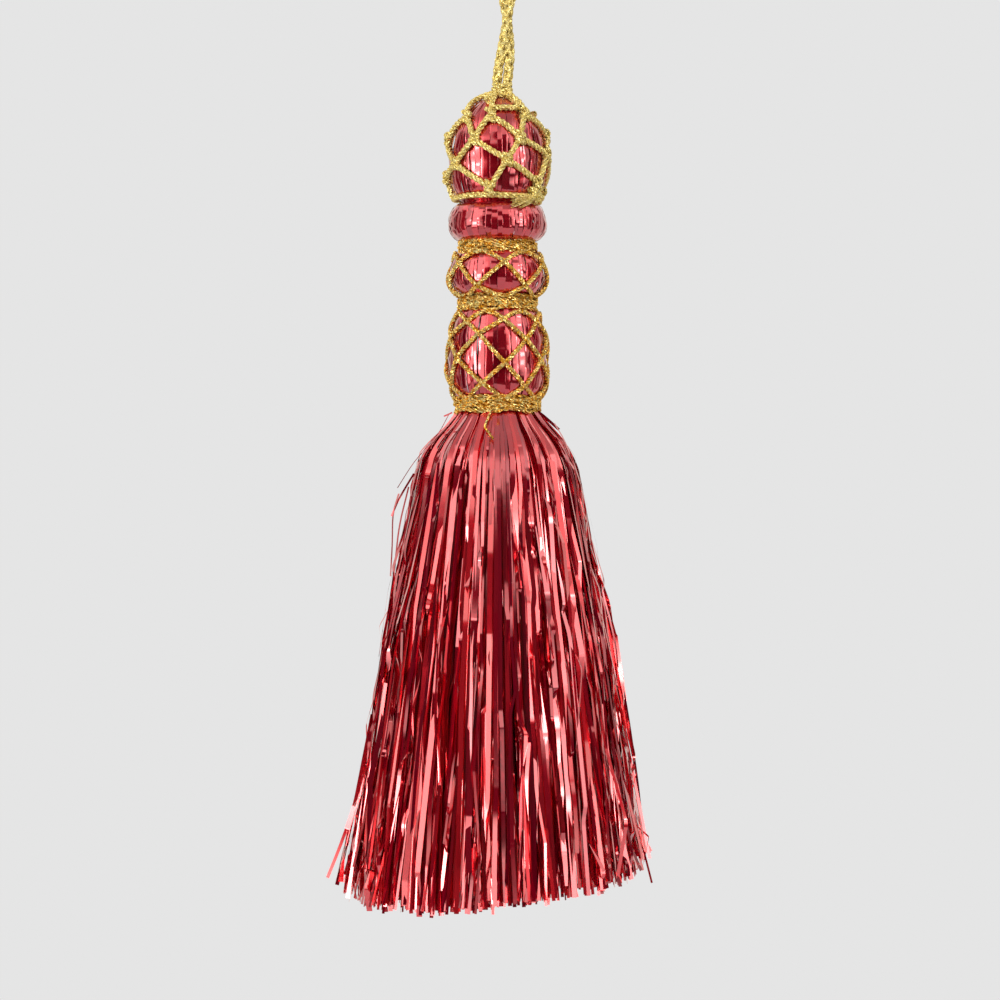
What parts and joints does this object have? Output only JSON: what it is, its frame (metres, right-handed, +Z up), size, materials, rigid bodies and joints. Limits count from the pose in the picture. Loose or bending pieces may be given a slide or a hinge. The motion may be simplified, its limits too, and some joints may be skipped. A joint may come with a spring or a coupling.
{
  "type": "tinsel tassel",
  "caption": "Red tinsel tassel: foil-wrapped beads under gold cord nets and bands, a flared skirt of foil strips, and a twisted gold loop to hang it by.",
  "frame": {"origin": "the hanging point, inside the top of the cord loop, where a hook or twig carries it", "axes": "+Z up along the tassel's axis, -Y towards the viewer who faces the tied front, +X to that viewer's right"},
  "size_m": [0.0958, 0.0945, 0.3174],
  "materials": {
    "red_foil": "metallised foil strips, mirror bright",
    "tinsel": "metallised foil strips, mirror bright",
    "pale_gold_cord": "twisted metallic cord, glinting",
    "deep_gold_thread": "metallic thread, glinting"
  },
  "bodies": {
    "root": {"hanging_cord": "pale_gold_cord", "crown_knot": "pale_gold_cord", "crown_bead": "red_foil", "crown_net": "pale_gold_cord", "net_tie": "pale_gold_cord", "collar_bead": "red_foil", "collar_band": "deep_gold_thread", "waist_bead": "red_foil", "waist_net": "deep_gold_thread", "waist_band": "deep_gold_thread", "barrel_bead": "red_foil", "barrel_net": "deep_gold_thread", "skirt_band": "deep_gold_thread", "tinsel_skirt": "tinsel"}
  },
  "joints": []
}
